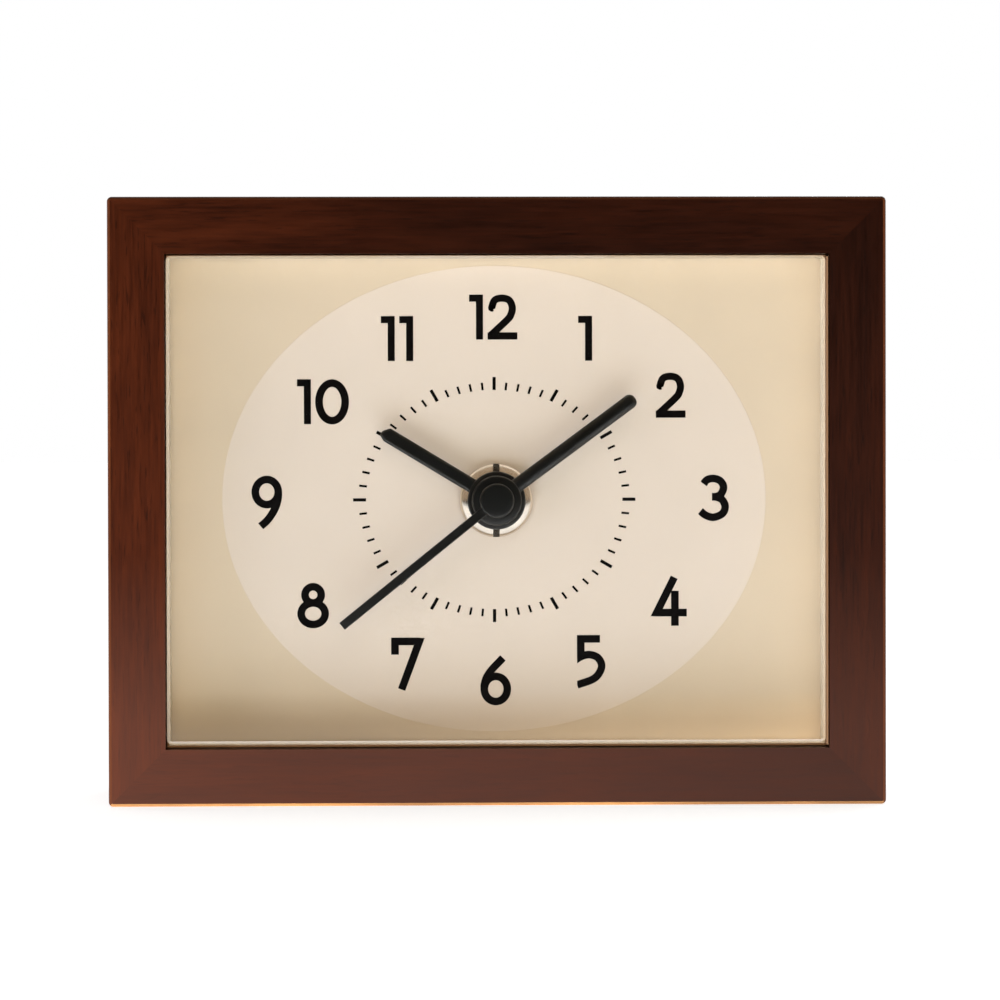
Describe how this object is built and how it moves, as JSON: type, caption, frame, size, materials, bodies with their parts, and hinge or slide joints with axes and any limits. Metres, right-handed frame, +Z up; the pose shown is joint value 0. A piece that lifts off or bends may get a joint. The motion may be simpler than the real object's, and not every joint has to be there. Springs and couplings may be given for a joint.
{
  "type": "desk clock",
  "caption": "Rectangular wooden desk clock: mitred frame, bevelled glass, beige dial with an oval minute track, black baton hands, and a quartz movement set in a recessed back.",
  "frame": {"origin": "on the table, under the middle of the frame's underside", "axes": "the dial faces -Y, +X is to the viewer's right, +Z is up"},
  "size_m": [0.13, 0.045, 0.1017],
  "materials": {
    "wood": "dark reddish-brown stain under a satin varnish, fine straight grain",
    "glass": "clear, with a ground bevel",
    "surround": "cream, matt",
    "dial": "beige satin ground with a paler printed ellipse and black print",
    "hand_black": "semi-matt black moulding",
    "nickel": "polished, slightly warm",
    "rubber": "matt black",
    "case_black": "fine-grained black moulding",
    "white_plastic": "natural moulding",
    "brass": "turned",
    "steel": "zinc plated",
    "magnet": "plastic-bonded magnet, dark grey",
    "copper_wire": "enamelled copper winding",
    "board": "green solder mask",
    "black_epoxy": "epoxy drop",
    "battery_sleeve": null,
    "panel": "dark hardboard, matt"
  },
  "bodies": {
    "clock": {"frame_top": "wood", "frame_bottom": "wood", "frame_left": "wood", "frame_right": "wood", "glass_pane": "glass", "surround_top": "surround", "surround_bottom": "surround", "surround_left": "surround", "surround_right": "surround", "dial_plate": "dial", "dial_gasket": "rubber", "nut_washer": "nickel", "dial_nut": "nickel", "movement_case": "case_black", "movement_cover": "case_black", "train_plate": "white_plastic", "gear_bridge": "white_plastic", "stator": "steel", "coil_core": "steel", "coil": "copper_wire", "circuit_board": "board", "control_chip": "black_epoxy", "quartz_crystal": "steel", "contact_positive": "nickel", "contact_negative": "nickel", "back_panel": "panel", "panel_screw_upper_left": "steel", "panel_screw_upper_right": "steel", "panel_screw_lower_left": "steel", "panel_screw_lower_right": "steel"},
    "second_hand": {"second_hand": "hand_black", "second_wheel": "white_plastic"},
    "third_wheel": {"third_wheel": "white_plastic"},
    "centre_wheel": {"centre_wheel": "brass"},
    "fifth_wheel": {"fifth_wheel": "white_plastic"},
    "rotor": {"rotor": "magnet"},
    "minute_hand": {"minute_hand": "hand_black", "cannon_pinion": "brass"},
    "hour_hand": {"hour_hand": "hand_black", "hour_wheel": "white_plastic"},
    "reverse_wheel": {"reverse_wheel": "white_plastic"},
    "setting_knob": {"setting_knob": "case_black"},
    "battery": {"battery": "battery_sleeve"}
  },
  "joints": [
    {"name": "second_hand_turn", "type": "hinge", "parent": "clock", "child": "second_hand", "pos_m": [0, -0.0102, 0.05085], "axis": [0, 1, 0], "continuous": true},
    {"name": "third_wheel_turn", "type": "hinge", "parent": "clock", "child": "third_wheel", "pos_m": [-0.0072, -0.0102, 0.05085], "axis": [0, 1, 0], "continuous": true},
    {"name": "centre_wheel_turn", "type": "hinge", "parent": "clock", "child": "centre_wheel", "pos_m": [0, -0.0102, 0.05085], "axis": [0, 1, 0], "continuous": true},
    {"name": "fifth_wheel_turn", "type": "hinge", "parent": "clock", "child": "fifth_wheel", "pos_m": [0, -0.0102, 0.05637], "axis": [0, 1, 0], "continuous": true},
    {"name": "rotor_turn", "type": "hinge", "parent": "clock", "child": "rotor", "pos_m": [0, -0.0102, 0.06141], "axis": [0, 1, 0], "continuous": true},
    {"name": "minute_hand_turn", "type": "hinge", "parent": "clock", "child": "minute_hand", "pos_m": [0, -0.0102, 0.05085], "axis": [0, 1, 0], "continuous": true},
    {"name": "hour_hand_turn", "type": "hinge", "parent": "clock", "child": "hour_hand", "pos_m": [0, -0.0102, 0.05085], "axis": [0, 1, 0], "continuous": true},
    {"name": "reverse_wheel_turn", "type": "hinge", "parent": "clock", "child": "reverse_wheel", "pos_m": [0.007, -0.0102, 0.05085], "axis": [0, 1, 0], "continuous": true},
    {"name": "setting_knob_turn", "type": "hinge", "parent": "clock", "child": "setting_knob", "pos_m": [0.014, -0.0102, 0.05085], "axis": [0, 1, 0], "continuous": true},
    {"name": "battery_slide", "type": "slide", "parent": "clock", "child": "battery", "axis": [0, 1, 0], "range_m": [0, 0.03]}
  ],
  "couplings": [
    {"joint": "third_wheel_turn", "follows": "second_hand_turn", "ratio": -0.13333},
    {"joint": "centre_wheel_turn", "follows": "second_hand_turn", "ratio": 0.016667},
    {"joint": "fifth_wheel_turn", "follows": "second_hand_turn", "ratio": -5},
    {"joint": "rotor_turn", "follows": "second_hand_turn", "ratio": 30},
    {"joint": "hour_hand_turn", "follows": "minute_hand_turn", "ratio": 0.083333},
    {"joint": "reverse_wheel_turn", "follows": "minute_hand_turn", "ratio": -0.33333},
    {"joint": "setting_knob_turn", "follows": "minute_hand_turn", "ratio": 1}
  ]
}
